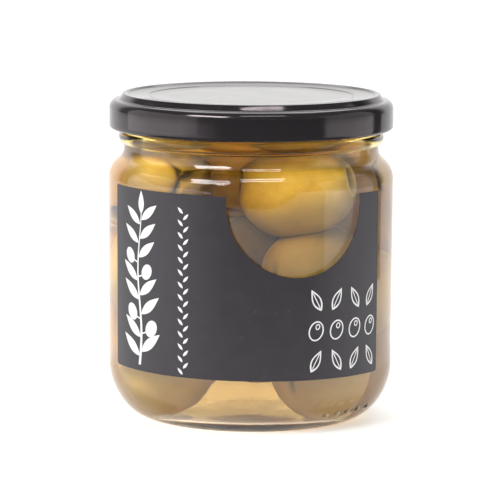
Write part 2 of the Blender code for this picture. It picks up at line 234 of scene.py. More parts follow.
def copiesOn(tree, points, shape, turn, size=None):
    # One object on every point, turned by an Euler vector.
    copied = addNode(tree, "GeometryNodeObjectInfo", {"As Instance": True, "Object": shape})["Geometry"]
    rotation = addNode(tree, "FunctionNodeEulerToRotation", {0: turn})[0]
    values = {"Points": points, "Instance": copied, "Rotation": rotation}
    if size is not None:
        values["Scale"] = size
    return addNode(tree, "GeometryNodeInstanceOnPoints", values)[0]


def endTree(tree, source, target, geometry):
    # Every geometry tree ends in real geometry that carries its material.
    real = addNode(tree, "GeometryNodeRealizeInstances", {0: geometry})[0]
    finish = addNode(tree, "GeometryNodeSetMaterial", {"Geometry": real, "Material": source["Finish"]})[0]
    feed(tree, target, {0: finish})
    return tree


def useTree(piece, tree, values):
    # Inputs are set by the socket's identifier before the first evaluation.
    modifier = piece.modifiers.new(tree.name, "NODES")
    modifier.node_group = tree
    for item in tree.interface.items_tree:
        if item.item_type == "SOCKET" and item.in_out == "INPUT" and item.name in values:
            modifier[item.identifier] = values[item.name]


# Shared shader effects

def buildMottleGroup():
    # Two sizes of soft blotches and a fine grain, for skins, paper and lacquer.
    tree, source, target = newTree("softMottle", "ShaderNodeTree",
                                   {"Blotch Scale": 120.0, "Grain Scale": 1500.0, "Contrast": 1.0},
                                   {"Blotch": "Float", "Grain": "Float", "Height": "Float"})
    place = objectPlace(tree)
    wide = noiseNode(tree, place, source["Blotch Scale"], 3.0, 0.55)
    fine = noiseNode(tree, place, source["Grain Scale"], 4.0, 0.6)
    raised = mathNode(tree, "MULTIPLY", mathNode(tree, "SUBTRACT", wide, 0.5), source["Contrast"])
    blotch = mathNode(tree, "ADD", mathNode(tree, "MULTIPLY", raised, 2.0), 0.5, clamp=True)
    height = mathNode(tree, "ADD", mathNode(tree, "MULTIPLY", wide, 0.7),
                      mathNode(tree, "MULTIPLY", fine, 0.3))
    feed(tree, target, {"Blotch": blotch, "Grain": fine, "Height": height})
    return tree


def buildScuffGroup():
    # Thin scattered scratches and rubbed patches, for lacquer and paper.
    tree, source, target = newTree("fineScuffs", "ShaderNodeTree", {"Scratch Scale": 300.0, "Amount": 0.3},
                                   {"Scuff": "Float"})
    place = objectPlace(tree)
    turned = addNode(tree, "ShaderNodeMapping", {"Rotation": (0.4, 0.9, 0.3), "Scale": (1.0, 0.06, 1.0),
                                                 "Vector": place})["Vector"]
    narrow = mapRange(tree, noiseNode(tree, turned, source["Scratch Scale"], 2.0), 0.66, 0.74)
    worn = mapRange(tree, noiseNode(tree, place, 40.0, 2.0), 0.45, 0.75)
    scuff = mathNode(tree, "MULTIPLY", mathNode(tree, "MULTIPLY", narrow, worn), source["Amount"], clamp=True)
    feed(tree, target, {"Scuff": scuff})
    return tree


mottleGroup = buildMottleGroup()
scuffGroup = buildScuffGroup()
print("shared shader groups ready")


# Materials

def newMaterial(name):
    material = bpy.data.materials.new(name)
    material.use_nodes = True
    tree = material.node_tree
    tree.nodes.clear()
    shader = tree.nodes.new("ShaderNodeBsdfPrincipled")
    output = tree.nodes.new("ShaderNodeOutputMaterial")
    tree.links.new(shader.outputs["BSDF"], output.inputs["Surface"])
    return material, tree, shader


def mottleFrom(tree, blotchScale, grainScale, contrast):
    values = {"Blotch Scale": blotchScale, "Grain Scale": grainScale, "Contrast": contrast}
    return addNode(tree, "ShaderNodeGroup", values, node_tree=mottleGroup)


def clearMaterial(name, look):
    # Clear, and lamps reach what is behind it without noise.
    material, tree, shader = newMaterial(name)
    output = tree.nodes["Material Output"]
    feed(tree, shader, {"Base Color": (*look["colour"], 1.0), "Roughness": 0.0, "IOR": look["ior"],
                        "Transmission Weight": 1.0})
    shadowRay = addNode(tree, "ShaderNodeLightPath")["Is Shadow Ray"]
    clear = addNode(tree, "ShaderNodeBsdfTransparent", {"Color": (*look["lampTint"], 1.0)})["BSDF"]
    choice = addNode(tree, "ShaderNodeMixShader", {0: shadowRay, 1: shader.outputs["BSDF"], 2: clear})
    feed(tree, output, {"Surface": choice["Shader"]})
    if "absorb" in look:
        depth = addNode(tree, "ShaderNodeVolumeAbsorption", {"Color": (*look["absorb"], 1.0),
                                                             "Density": look["density"]})
        feed(tree, output, {"Volume": depth["Volume"]})
    return material, tree, shader


def clearGlassMaterial():
    # The neck's glass is painted amber from the neck up: painted colour that stands in for the amber light
    # through the brine under the lid; the glass itself is clear.
    look = {"colour": (0.985, 0.99, 0.98), "ior": 1.5, "lampTint": (0.96, 0.965, 0.95),
            "neckPaintedAmber": (0.97, 0.76, 0.28), "neckHeights": (0.0775, 0.0825),
            "mottle": (60.0, 260.0, 1.0), "bump": (0.12, 0.0006)}
    material, tree, shader = clearMaterial("clearMouldedGlass", look)
    upward = addNode(tree, "ShaderNodeSeparateXYZ", {0: objectPlace(tree)})["Z"]
    share = mapRange(tree, upward, *look["neckHeights"])
    mottle = mottleFrom(tree, *look["mottle"])
    feed(tree, shader, {"Base Color": mixColours(tree, share, look["colour"], look["neckPaintedAmber"]),
                        "Normal": bumpFrom(tree, mottle["Height"], *look["bump"])})
    return material


def oliveSkinMaterial():
    look = {"gold": (0.74, 0.465, 0.060), "ochre": (0.56, 0.325, 0.036), "pale": (0.90, 0.52, 0.150),
            "shaded": (0.07, 0.052, 0.034), "speck": (0.78, 0.57, 0.22), "cut": (0.050, 0.026, 0.010),
            "flesh": (0.82, 0.66, 0.33), "mottle": (95.0, 900.0, 1.3), "bump": (0.25, 0.0006),
            "poreScale": 1300.0, "poreRange": (0.12, 0.26, 0.4, 0.0)}
    material, tree, shader = newMaterial("curedOliveSkin")
    mottle = mottleFrom(tree, *look["mottle"])
    toneAndPaintedLight, cutShade, flesh = (addNode(tree, "ShaderNodeAttribute", attribute_name=name)["Fac"]
                          for name in ("toneAndPaintedLight", "cutShade", "flesh"))
    pores = addNode(tree, "ShaderNodeTexVoronoi", {"Scale": look["poreScale"], "Randomness": 1.0,
                                                   "Vector": objectPlace(tree)})
    # Above 0 the tone mixes in pale, below 0 shaded: painted light and shade on the placed olives, a paler
    # tone of their own on the others.
    shares = {"pale": mathNode(tree, "MULTIPLY", toneAndPaintedLight, 1.0, clamp=True),
              "shaded": mathNode(tree, "MULTIPLY", toneAndPaintedLight, -1.0, clamp=True),
              "speck": mapRange(tree, pores["Distance"], *look["poreRange"]),
              "flesh": flesh, "cut": cutShade}
    # cut paints the hole and the star's slits dark: painted shade in those hollows.
    skin = mixColours(tree, mottle["Blotch"], look["ochre"], look["gold"])
    for name, share in shares.items():
        skin = mixColours(tree, share, skin, look[name])
    feed(tree, shader, {"Base Color": skin, "Roughness": 0.34, "IOR": 1.42, "Specular IOR Level": 0.04,
                        "Subsurface Weight": 0.25, "Subsurface Radius": (1.0, 0.55, 0.18),
                        "Subsurface Scale": 0.003, "Normal": bumpFrom(tree, mottle["Height"], *look["bump"])})
    return material


def mottledMaterial(name, look):
    # Two colours in soft blotches. A look may add scuffs, an uneven shine, fine bumps and more inputs.
    material, tree, shader = newMaterial(name)
    mottle = mottleFrom(tree, *look["mottle"])
    colour = mixColours(tree, mottle["Blotch"], *look["colours"])
    roughness = look["roughness"]
    if "shine" in look:
        roughness = mapRange(tree, mottle[look["shine"]], toMin=roughness[0], toMax=roughness[1])
    if "scuffs" in look:
        scale, amount, scuffColour, dulling = look["scuffs"]
        scuff = addNode(tree, "ShaderNodeGroup", {"Scratch Scale": scale, "Amount": amount},
                        node_tree=scuffGroup)["Scuff"]
        colour = mixColours(tree, scuff, colour, scuffColour)
        roughness = mathNode(tree, "ADD", roughness, mathNode(tree, "MULTIPLY", scuff, dulling))
    if "bump" in look:
        pattern, strength, distance = look["bump"]
        feed(tree, shader, {"Normal": bumpFrom(tree, mottle[pattern], strength, distance)})
    feed(tree, shader, {"Base Color": colour, "Roughness": roughness, **look.get("inputs", {})})
    return material, tree, shader


brineLook = {"colour": (1.0, 1.0, 1.0), "ior": 1.34, "lampTint": (0.99, 0.97, 0.93),
             "absorb": (0.745, 0.530, 0.015), "density": 33.0}

# mottle: blotch scale, grain scale and contrast; scuffs: scale, amount, colour and added roughness;
# bump: pattern, strength and depth
lidLook = {"mottle": (150.0, 1100.0, 0.8), "colours": ((0.011, 0.010, 0.011), (0.011, 0.010, 0.011)),
           "roughness": (0.07, 0.15), "shine": "Blotch", "scuffs": (260.0, 0.35, (0.06, 0.058, 0.056), 0.3),
           "bump": ("Height", 0.05, 0.0002), "inputs": {"IOR": 1.52, "Specular Tint": (1.0, 0.87, 0.93, 1.0)}}
liningLook = {"mottle": (90.0, 1300.0, 0.7), "colours": ((0.60, 0.40, 0.15), (0.72, 0.50, 0.20)),
              "roughness": 0.35, "bump": ("Height", 0.05, 0.0002)}
labelLook = {"mottle": (220.0, 4200.0, 0.8), "colours": ((0.023, 0.0195, 0.0255), (0.033, 0.0285, 0.0355)),
             "roughness": (0.37, 0.49), "shine": "Grain", "scuffs": (420.0, 0.25, (0.12, 0.11, 0.115), 0.0),
             "bump": ("Grain", 0.10, 0.0001)}
paperBackLook = {"mottle": (160.0, 3000.0, 0.6), "colours": ((0.50, 0.48, 0.45), (0.60, 0.58, 0.55)),
                 "roughness": 0.7}
printLook = {"mottle": (300.0, 3600.0, 0.6), "colours": ((0.80, 0.79, 0.79), (0.87, 0.86, 0.86)),
             "roughness": 0.45, "bump": ("Grain", 0.08, 0.0001)}

materials = {
    "glass": clearGlassMaterial(),
    "brine": clearMaterial("olive_brine", brineLook)[0],
    "olive": oliveSkinMaterial(),
    "lid": mottledMaterial("blackLidLacquer", lidLook)[0],
    "lidLining": mottledMaterial("goldLidLining", liningLook)[0],
    "label": mottledMaterial("charcoalPaper", labelLook)[0],
    "paperBack": mottledMaterial("paperBack", paperBackLook)[0],
    "print": mottledMaterial("whitePrint", printLook)[0],
}
print("materials ready:", len(materials))


# Glass jar

def bodyRadius(height):
    span = jarSizes["shoulderHeight"] - jarSizes["heelHeight"]
    share = (jarSizes["shoulderHeight"] - height) / span
    return jarSizes["radius"] - jarSizes["taper"] * min(max(share, 0.0), 1.0)


def neckCurve(shoulderRadius, centerRadius, waistRadius, steps):
    # Convex shoulder and concave neck on one slope, from the waist down.
    turn = math.radians(jarSizes["shoulderTurn"])
    meetRadius = centerRadius + shoulderRadius * math.cos(turn)
    meetHeight = jarSizes["shoulderHeight"] + shoulderRadius * math.sin(turn)
    neckRadius = (meetRadius - waistRadius) / (1.0 - math.cos(turn))
    neckHeight = meetHeight + neckRadius * math.sin(turn)
    neck = circleArc(waistRadius + neckRadius, neckHeight, neckRadius,
                     180.0, 180.0 + jarSizes["shoulderTurn"], steps)
    shoulder = circleArc(centerRadius, jarSizes["shoulderHeight"], shoulderRadius,
                         jarSizes["shoulderTurn"], 0.0, steps + 2)
    return neck[:-1] + shoulder


def outerProfile():
    s = jarSizes
    beadCenter = s["beadRadius"] - s["beadRound"]
    beadTop = math.degrees(math.acos((s["finishRadius"] - beadCenter) / s["beadRound"]))
    beadLow = math.degrees(math.acos((s["waistRadius"] - beadCenter) / s["beadRound"]))
    points = circleArc(s["finishRadius"] - s["rimRound"], s["rimTop"] - s["rimRound"], s["rimRound"],
                       90.0, 0.0, 5)
    points += circleArc(beadCenter, s["beadHeight"], s["beadRound"], beadTop, -beadLow, 14)
    points += neckCurve(s["shoulderRadius"], s["radius"] - s["shoulderRadius"], s["waistRadius"], 9)
    heelRadius = bodyRadius(s["heelHeight"])
    points += lineSteps(points[-1], (heelRadius, s["heelHeight"]), 6)
    points += arc(heelRadius - s["heelDepth"], s["heelHeight"], s["heelDepth"], s["heelHeight"],
                  0.0, -90.0, 22, s["heelFullness"])[1:]
    bearing = heelRadius - s["heelDepth"] - s["bearingWidth"]
    points.append((bearing, 0.0))
    points += arc(0.0, s["puntStep"], bearing - s["puntStep"], s["puntRise"] - s["puntStep"], 0.0, 90.0, 8)
    return points


def innerProfile(outset=0.0):
    # From the middle of the floor up to the top of the neck; outset moves it into the wall.
    s = jarSizes
    radius = bodyRadius(s["heelHeight"]) - s["wall"] + outset
    depth = s["innerHeelDepth"] + outset
    rise = s["innerHeelHeight"] + outset
    center = radius - depth
    low = s["floorHeight"] - outset
    points = [(0.0, low + s["floorRise"]), (0.35 * center, low + 0.9 * s["floorRise"]),
              (0.7 * center, low + 0.45 * s["floorRise"])]
    points += arc(center, low + rise, depth, rise, -90.0, 0.0, 14)
    upper = s["radius"] - s["wall"] + outset
    points += lineSteps(points[-1], (upper, s["shoulderHeight"]), 6)[:-1]
    neck = neckCurve(s["innerShoulderRadius"] + outset, upper - s["innerShoulderRadius"] - outset,
                     s["neckInnerRadius"] + outset, 7)
    return points + neck[::-1]


def wallWave(point):
    # Moulded glass is a little uneven inside; the brine follows it.
    away = math.hypot(point.x, point.y)
    if away < 0.001:
        return point
    place = Vector((point.x, point.y, 0.35 * point.z)) * jarSizes["waveScale"]
    push = 1.0 + jarSizes["waveHeight"] * noise.noise(place) / away
    return Vector((point.x * push, point.y * push, point.z))


threadSettings = {"count": 6, "startAngle": 36.7, "arc": 58.0, "low": 0.0863, "high": 0.0920,
                  "round": 0.0009, "points": 40, "tipSize": 0.35, "tipGrowth": 9.0}


def buildAroundTree():
    # Copies of one shape at even angles round the jar's axis.
    tree, source, target = newGeometryTree("aroundAxis", {"Shape": "Object", "Count": 6, "Start Angle": 0.0})
    points = addNode(tree, "GeometryNodePoints", {"Count": source["Count"]})[0]
    number = addNode(tree, "GeometryNodeInputIndex")[0]
    spacing = mathNode(tree, "DIVIDE", 2.0 * math.pi, source["Count"])
    angle = mathNode(tree, "ADD", mathNode(tree, "MULTIPLY", number, spacing), source["Start Angle"])
    turn = addNode(tree, "ShaderNodeCombineXYZ", {"Z": angle})[0]
    return endTree(tree, source, target, copiesOn(tree, points, source["Shape"], turn))


def fuseCopies(piece, name, shape, startAngle, aroundTree, finish, more=None):
    # Puts copies of the shape round the axis and joins them, with what more adds, to the piece for good.
    ring = addObject(name, bpy.data.meshes.new(name))
    useTree(ring, aroundTree, {"Shape": shape, "Count": threadSettings["count"],
                               "Start Angle": math.radians(startAngle), "Finish": finish})
    makePlain(ring)
    if more:
        builder = bmesh.new()
        builder.from_mesh(ring.data)
        more(builder)
        builder.to_mesh(ring.data)
        builder.free()
    union = piece.modifiers.new("Fuse", "BOOLEAN")
    union.operation = "UNION"
    union.object = ring
    makePlain(piece)
    removeObject(ring)
    removeObject(shape)
    piece.data.materials.clear()
    piece.data.materials.append(finish)


# degrees round the jar and height of each raised dot near the foot
mouldDots = {"places": ((35.0, 0.0052), (41.0, 0.0053), (47.0, 0.0054), (54.0, 0.0055), (62.0, 0.0056)),
             "round": 0.0013, "sunk": 0.00098, "slopeStep": 0.001}


def addMouldDots(builder):
    wall = sorted((height, radius) for radius, height in outerProfile() if height < jarSizes["heelHeight"])
    heights, radii = zip(*wall[1:])
    for angle, height in mouldDots["places"]:
        radius, lower = (float(np.interp(level, heights, radii))
                         for level in (height, height - mouldDots["slopeStep"]))
        lean = math.atan2(radius - lower, mouldDots["slopeStep"])
        center = placeOnAxis(radius - mouldDots["sunk"] * math.cos(lean), math.radians(angle),
                             height + mouldDots["sunk"] * math.sin(lean))
        bmesh.ops.create_icosphere(builder, subdivisions=3, radius=mouldDots["round"],
                                   matrix=Matrix.Translation(center))


def oneThread():
    # One ridge: a round bar along a short helix, with capped ends that taper.
    t = threadSettings
    curve = bpy.data.curves.new("threadPath", "CURVE")
    curve.dimensions = "3D"
    curve.bevel_depth = t["round"]
    curve.bevel_resolution = 4
    curve.use_fill_caps = True
    spline = curve.splines.new("POLY")
    spline.points.add(t["points"] - 1)
    for step, point in enumerate(spline.points):
        share = step / (t["points"] - 1)
        place = placeOnAxis(jarSizes["finishRadius"], math.radians(share * t["arc"]),
                            t["low"] + (t["high"] - t["low"]) * share)
        point.co = (*place, 1.0)
        point.radius = min(1.0, t["tipSize"] + t["tipGrowth"] * min(share, 1.0 - share))
    path = addObject("threadPath", curve)
    graph = bpy.context.evaluated_depsgraph_get()
    mesh = bpy.data.meshes.new_from_object(path.evaluated_get(graph))
    removeObject(path)
    mendMesh(mesh, 0.000005)
    return addObject("oneThread", mesh)


def buildJar(aroundTree):
    s = jarSizes
    profile = innerProfile()
    top = (s["finishRadius"] - 2.0 * s["rimRound"], s["rimTop"] - s["rimRound"])
    profile += lineSteps(profile[-1], top, 3)
    profile += circleArc(s["finishRadius"] - s["rimRound"], top[1], s["rimRound"], 180.0, 108.0, 4)[1:]
    jar = turnProfile("glassJar", profile + outerProfile(), s["sides"])
    limit = s["radius"] - 0.5 * s["wall"]
    for vert in jar.data.vertices:
        if math.hypot(vert.co.x, vert.co.y) < limit and s["floorHeight"] < vert.co.z < s["shoulderHeight"]:
            vert.co = wallWave(vert.co)
    fuseCopies(jar, "threadRidges", oneThread(), threadSettings["startAngle"], aroundTree, materials["glass"],
               addMouldDots)
    shadeSmooth(jar, 50.0)
    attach(jar, "root")
    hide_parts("jar")
    print("glass jar:", countFaces(jar), "triangles")


aroundTree = buildAroundTree()
buildJar(aroundTree)


# Brine

brineSettings = {"intoWall": 0.00012, "level": 0.0922, "meniscus": 0.0009, "meniscusWidth": 0.0016}


def buildBrine():
    b = brineSettings
    profile = innerProfile(b["intoWall"])
    edge = profile[-1][0]
    profile += lineSteps(profile[-1], (edge, b["level"] + b["meniscus"]), 2)
    for step in range(1, 6):
        share = step / 5
        profile.append((edge - b["meniscusWidth"] * share, b["level"] + b["meniscus"] * (1.0 - share) ** 2))
    profile += [(0.6 * edge, b["level"]), (0.25 * edge, b["level"]), (0.0, b["level"])]
    brine = turnProfile("brine", profile, jarSizes["sides"])
    for vert in brine.data.vertices:
        if vert.co.z < jarSizes["shoulderHeight"]:
            vert.co = wallWave(vert.co)
    brine.data.materials.append(materials["brine"])
    shadeSmooth(brine, 50.0)
    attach(brine, "root")
    print("brine:", countFaces(brine), "triangles")


buildBrine()


# Olives: the same settling as in the model

oliveSettings = {
    "length": 0.0300,
    "width": 0.0252,
    "ringRadius": 0.0268,
    "floor": 0.0064,
    "ceiling": 0.0900,
    "clearance": 0.0009,
    "neckRise": 0.0075,
    "seed": 7,
    "rounds": 400,
    # each olive settles as a chain of three balls
    "chainOverlap": 0.84,
    "endBall": 0.42,
    "push": 0.25,
    "sink": 0.00002,
    # angle, distance from the axis, height, yaw, pitch, size
    "placed": (
        (30.5, 0.0250, 0.0704, -14.0, 10.0, 1.06),
        (38.0, 0.0265, 0.0478, 8.0, 22.0, 1.00),
        (-60.0, 0.0248, 0.0720, 168.0, -3.0, 0.96),
        (-20.0, 0.0060, 0.0735, 70.0, 35.0, 0.98),
        (-12.0, 0.0095, 0.0500, 20.0, 65.0, 0.98),
        (-54.0, 0.0260, 0.0200, 6.0, 30.0, 1.10),
        (46.0, 0.0262, 0.0177, -4.0, -10.0, 1.03),
        (180.0, 0.0262, 0.0225, 0.0, 5.0, 1.00),
    ),
    # turned a little further on the spot
    "placedTurns": (-24.0, 0.0, -8.0, 0.0, 0.0, 0.0, 15.0, 0.0),
    # paler above 0, darker below 0: painted light and shade on these placed olives, mostly painted shade
    "placedLightAndShade": (-0.10, -0.54, -0.32, 0.20, -0.84, 0.25, 0.50, 0.10),
    # height, how many, angle of the first
    "layers": ((0.0180, 2, 128.0), (0.0440, 5, 100.0), (0.0700, 3, 100.0)),
    "middle": (0.0360,),
    "holeRadius": 0.0031,
    "holeDepth": 0.0110,
    "holeEdge": 0.0016,
    "narrowing": 0.035,
    "fullness": (0.94, 0.97),
    "profileSteps": 44,
    "slitDepth": 0.0018,
    "slitWidth": 0.00075,
    "slitReach": 0.0085,
    "segments": 56,
    "gap": 0.00025,
    "lumpHeight": 0.00042,
    "lumpScale": 105.0,
}


def olivePose(angle, distance, height, yaw, pitch, size):
    turn = math.radians(angle)
    outward = np.array([math.sin(turn), -math.cos(turn), 0.0])
    along = np.array([math.cos(turn), math.sin(turn), 0.0])
    upward = np.array([0.0, 0.0, 1.0])
    level = math.cos(math.radians(yaw)) * along - math.sin(math.radians(yaw)) * outward
    axis = math.cos(math.radians(pitch)) * level + math.sin(math.radians(pitch)) * upward
    return outward * distance + upward * height, axis, size


def roomInside(heights):
    s = jarSizes
    o = oliveSettings
    body = s["radius"] - s["taper"] - s["wall"] - o["clearance"]
    neck = s["neckInnerRadius"] - o["clearance"]
    rise = np.clip((heights - s["shoulderHeight"]) / o["neckRise"], 0.0, 1.0)
    fall = np.clip((s["floorHeight"] + s["innerHeelHeight"] - heights) / s["innerHeelHeight"], 0.0, 1.0)
    heel = s["innerHeelDepth"] * (1.0 - np.sqrt(1.0 - fall * fall))
    return body + (neck - body) * rise ** 1.5 - heel


def wallLimits(heights, radii):
    limits = []
    for share in (-0.9, -0.75, -0.5, -0.25, 0.0, 0.25, 0.5, 0.75, 0.9):
        limits.append(roomInside(heights + share * radii) - radii * math.sqrt(1.0 - share * share))
    return np.min(limits, axis=0)


def startOlives(draw):
    o = oliveSettings
    poses = [olivePose(*placed) for placed in o["placed"]]
    fixed = len(poses)
    for height, count, first in o["layers"]:
        spacing = (360.0 - 2.0 * first) / (count - 1)
        for index in range(count):
            poses.append(olivePose(first + index * spacing + draw.uniform(-5.0, 5.0), o["ringRadius"],
                                   height + draw.uniform(-0.003, 0.003), draw.uniform(-25.0, 25.0),
                                   draw.uniform(-60.0, 60.0), draw.uniform(0.94, 1.05)))
    for height in o["middle"]:
        poses.append(olivePose(draw.uniform(0.0, 360.0), 0.002, height, draw.uniform(-90.0, 90.0),
                               draw.uniform(30.0, 80.0), draw.uniform(0.92, 1.0)))
    return poses, fixed


def settleOlives():
    o = oliveSettings
    draw = np.random.default_rng(o["seed"])
    poses, fixed = startOlives(draw)
    centers = np.array([pose[0] for pose in poses])
    axes = np.array([pose[1] for pose in poses])
    sizes = np.array([pose[2] for pose in poses])
    reach = sizes * 0.5 * (o["length"] - o["width"] * o["chainOverlap"])
    radii = np.stack([sizes * share * o["width"] for share in (o["endBall"], 0.5, o["endBall"])], axis=1)
    count = len(poses)
    owner = np.repeat(np.arange(count), 3)
    apart = owner[:, None] != owner[None, :]
    for _ in range(o["rounds"]):
        steps = reach[:, None] * np.array([-1.0, 0.0, 1.0])
        balls = (centers[:, None, :] + steps[..., None] * axes[:, None, :]).reshape(-1, 3)
        ballRadii = radii.reshape(-1)
        offset = balls[:, None, :] - balls[None, :, :]
        distance = np.linalg.norm(offset, axis=2) + 1e-9
        overlap = np.where(apart, ballRadii[:, None] + ballRadii[None, :] - distance, 0.0).clip(min=0.0)
        balls = balls + o["push"] * (offset / distance[..., None] * overlap[..., None]).sum(axis=1)
        balls[:, 2] -= o["sink"]
        across = np.linalg.norm(balls[:, :2], axis=1) + 1e-9
        excess = (across - wallLimits(balls[:, 2], ballRadii)).clip(min=0.0)
        balls[:, :2] -= balls[:, :2] / across[:, None] * excess[:, None]
        balls[:, 2] = np.clip(balls[:, 2], o["floor"] + ballRadii, o["ceiling"] - ballRadii)
        chains = balls.reshape(count, 3, 3)
        moved = chains[:, 2] - chains[:, 0]
        moved /= np.linalg.norm(moved, axis=1)[:, None]
        centers[fixed:] = chains.mean(axis=1)[fixed:]
        axes[fixed:] = moved[fixed:]
    return centers, axes, sizes


def addAttributes(mesh, kinds):
    for name, kind in kinds.items():
        mesh.attributes.new(name, kind, "POINT")


def oneOlive():
    # Turned egg with a punched hole at the top end and a star cut at the bottom end, unit size 1.
    o = oliveSettings
    half = 0.5 * o["length"]
    girth = 0.5 * o["width"]
    hole = o["holeRadius"]
    profile = [(0.0, half - o["holeDepth"]), (0.8 * hole, half - o["holeDepth"]),
               (0.93 * hole, half - 0.6 * o["holeDepth"]), (hole, half - o["holeEdge"])]
    start = math.degrees(math.asin(1.16 * hole / girth))
    steps = o["profileSteps"]
    for step in range(steps + 1):
        angle = math.radians(start + (180.0 - start) * step / steps)
        narrow = 1.0 - o["narrowing"] * math.cos(angle)
        along = half * math.copysign(abs(math.cos(angle)) ** o["fullness"][0], math.cos(angle))
        across = girth * narrow * math.sin(angle) ** o["fullness"][1] if step < steps else 0.0
        profile.append((across, along))
    olive = turnProfile("oneOlive", profile, o["segments"])
    addAttributes(olive.data, {"cutShade": "FLOAT", "flesh": "FLOAT"})
    cutShade, flesh = (olive.data.attributes[name] for name in ("cutShade", "flesh"))
    for index, vert in enumerate(olive.data.vertices):
        across = math.hypot(vert.co.x, vert.co.y)
        depth = 0.0
        if vert.co.z < 0.0 and across < o["slitReach"] * 1.3:
            for cut in range(3):
                angle = math.radians(120.0 * cut + 20.0)
                alongCut = vert.co.x * math.cos(angle) + vert.co.y * math.sin(angle)
                besideCut = abs(-vert.co.x * math.sin(angle) + vert.co.y * math.cos(angle))
                if alongCut > -o["slitWidth"]:
                    fade = max(0.0, 1.0 - (alongCut / o["slitReach"]) ** 2)
                    depth = max(depth, fade * math.exp(-(besideCut / o["slitWidth"]) ** 2))
            vert.co.z += o["slitDepth"] * depth
        # Deep in the hole and along the slits the skin is painted dark: painted shade in those hollows.
        deepInHole = vert.co.z > 0.0 and across < 0.97 * hole
        cutShade.data[index].value = max(depth * 0.9, 0.75 if deepInHole else 0.0)
        flesh.data[index].value = 0.9 if vert.co.z > 0.0 and across < 1.3 * hole else 0.0
    return olive


def buildOlivesTree():
    # One olive on each point, turned and sized by the points' own values, then made uneven.
    tree, source, target = newGeometryTree("olivesOnPoints", {"Olive": "Object", "Lump Height": 0.0004,
                                                              "Lump Scale": 100.0})
    turn, size = (addNode(tree, "GeometryNodeInputNamedAttribute", {"Name": name},
                          data_type="FLOAT_VECTOR")["Attribute"] for name in ("turn", "size"))
    copies = copiesOn(tree, source["Geometry"], source["Olive"], turn, size)
    real = addNode(tree, "GeometryNodeRealizeInstances", {0: copies})[0]
    lumps = mathNode(tree, "SUBTRACT", noiseNode(tree, None, source["Lump Scale"], 2.0), 0.5)
    push = addNode(tree, "ShaderNodeVectorMath",
                   {0: addNode(tree, "GeometryNodeInputNormal")[0],
                    "Scale": mathNode(tree, "MULTIPLY", lumps, source["Lump Height"])}, operation="SCALE")[0]
    moved = addNode(tree, "GeometryNodeSetPosition", {"Geometry": real, "Offset": push})[0]
    return endTree(tree, source, target, addNode(tree, "GeometryNodeSetShadeSmooth", {0: moved})[0])


def pressToGlass(heap):
    # An olive that would touch the wall is flattened a little, just short of it.
    wall = np.array(innerProfile(-oliveSettings["gap"]))
    wall = wall[wall[:, 0] > 0.02]
    places = np.empty(len(heap.data.vertices) * 3)
    heap.data.vertices.foreach_get("co", places)
    places = places.reshape(-1, 3)
    across = np.hypot(places[:, 0], places[:, 1]) + 1e-9
    room = np.interp(places[:, 2], wall[:, 1], wall[:, 0])
    places[:, :2] *= np.minimum(1.0, room / across)[:, None]
    heap.data.vertices.foreach_set("co", places.reshape(-1))
    heap.data.update()


def buildOlives():
    o = oliveSettings
    centers, axes, sizes = settleOlives()
    draw = np.random.default_rng(o["seed"] + 1)
    mesh = bpy.data.meshes.new("oliveHeap")
    mesh.from_pydata([tuple(center) for center in centers], [], [])
    addAttributes(mesh, {"turn": "FLOAT_VECTOR", "size": "FLOAT_VECTOR", "toneAndPaintedLight": "FLOAT"})
    turn, size, toneAndPaintedLight = (mesh.attributes[name] for name in ("turn", "size", "toneAndPaintedLight"))
    for index, (axis, scale) in enumerate(zip(axes, sizes)):
        if index < len(o["placedTurns"]):
            axis = Matrix.Rotation(math.radians(o["placedTurns"][index]), 3, "Z") @ Vector(axis)
        aim = Vector(axis).to_track_quat("Z", "Y") @ Quaternion((0.0, 0.0, 1.0), draw.uniform(0.0, 6.28))
        turn.data[index].vector = aim.to_euler()
        size.data[index].vector = (scale * draw.uniform(0.975, 1.0), scale * draw.uniform(0.975, 1.0), scale)
        # The placed olives take their painted light and shade; the others take a random paler tone of their
        # own.
        chance = draw.uniform(0.0, 0.35)
        toneAndPaintedLight.data[index].value = o["placedLightAndShade"][index] if index < len(o["placedLightAndShade"]) else chance
    heap = addObject("oliveHeap", mesh)
    olive = oneOlive()
    useTree(heap, buildOlivesTree(), {"Olive": olive, "Lump Height": o["lumpHeight"] * 2.0,
                                      "Lump Scale": o["lumpScale"], "Finish": materials["olive"]})
    makePlain(heap)
    removeObject(olive)
    pressToGlass(heap)
    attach(heap, "root")
    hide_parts("olives")
    print("olives:", len(centers), "with", countFaces(heap), "triangles")


buildOlives()


# Lid

lidSettings = {
    "radius": 0.0424,
    "top": 0.0968,
    "sheet": 0.0004,
    "panelRadius": 0.0303,
    "panelDrop": 0.00085,
    "panelStep": 0.0003,
    "ridgeInner": 0.0370,
    "ridgeOuter": 0.0381,
    "ridgeRound": 0.0004,
    "ridgeSlope": (36.0, 32.5),
    "slopeRadius": 0.0240,
    "ledgeDrop": 0.0018,
    "shoulderRound": 0.0022,
    "shoulderFall": 0.0025,
    "curlRound": 0.0010,
    "curlBottom": 0.0864,
    "sides": 192,
    "lugAngle": 42.0,
    "lugSize": (0.0080, 0.0017, 0.0010),
    "lugRadius": 0.0403,
    "lugHeight": 0.0873,
    "lugRound": 0.0003,
}


def softStep(radius, low, high, width, steps=5):
    # A pressed step in the sheet, as an S from (radius, low) to (radius + width, high).
    points = []
    for step in range(steps + 1):
        share = step / steps
        rise = share * share * (3.0 - 2.0 * share)
        points.append((radius + width * share, low + (high - low) * rise))
    return points


